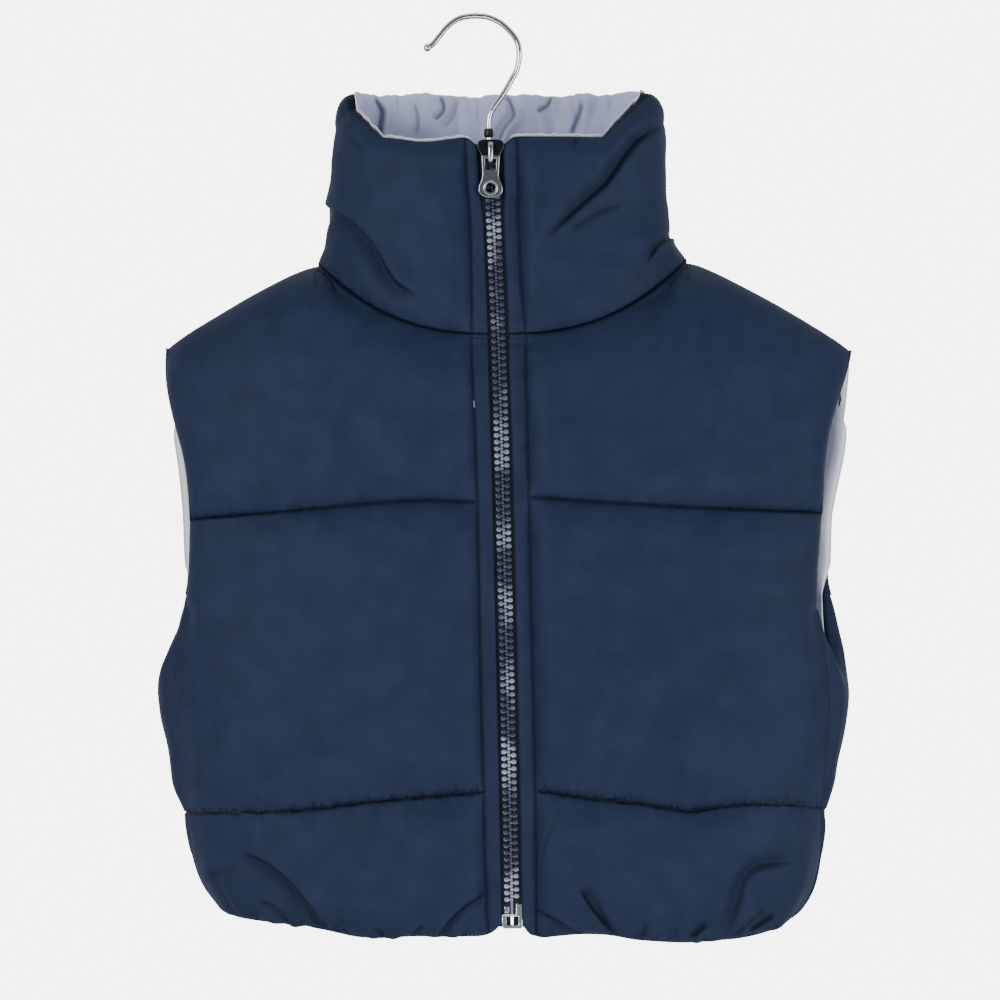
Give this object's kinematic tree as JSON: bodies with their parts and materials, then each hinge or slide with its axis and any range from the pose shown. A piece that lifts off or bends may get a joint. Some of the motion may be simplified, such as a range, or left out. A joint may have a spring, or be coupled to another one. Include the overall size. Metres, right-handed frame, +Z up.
{
  "type": "puffer vest on a hanger",
  "caption": "Cropped sleeveless puffer vest with a high stand collar, quilted channels, a gathered hem and a full front zip, hung on a wire-hook hanger.",
  "frame": {"origin": "underside of the top of the hanger's hook, where a rail or peg carries it", "axes": "+Z up, -Y the vest's front, -X the wearer's right"},
  "size_m": [0.4142, 0.1309, 0.5541],
  "materials": {
    "shell": "satin navy polyester over filling",
    "lining": "satin pale lavender-grey polyester",
    "tape": "woven",
    "teeth": "moulded",
    "hardware": "dark gunmetal",
    "zip_end": "satin",
    "chrome": "polished",
    "hanger": "smooth black"
  },
  "bodies": {
    "vest": {"right_front": "shell", "left_front": "shell", "back": "shell", "collar": "shell", "right_front_lining": "lining", "left_front_lining": "lining", "back_lining": "lining", "collar_lining": "lining", "right_zip_tape": "tape", "left_zip_tape": "tape", "right_zip_teeth": "teeth", "left_zip_teeth": "teeth", "zip_slider": "hardware", "zip_box": "zip_end", "zip_pin": "zip_end", "hanger_hook": "chrome", "hanger_sleeve": "hanger", "hanger_body": "hanger"},
    "pull": {"zip_pull_tab": "hardware"}
  },
  "joints": [
    {"name": "pull_tab", "type": "hinge", "parent": "vest", "child": "pull", "pos_m": [0.00938, -0.0426, -0.0844], "axis": [-1, 0, 0], "range_deg": [0, 160]}
  ]
}
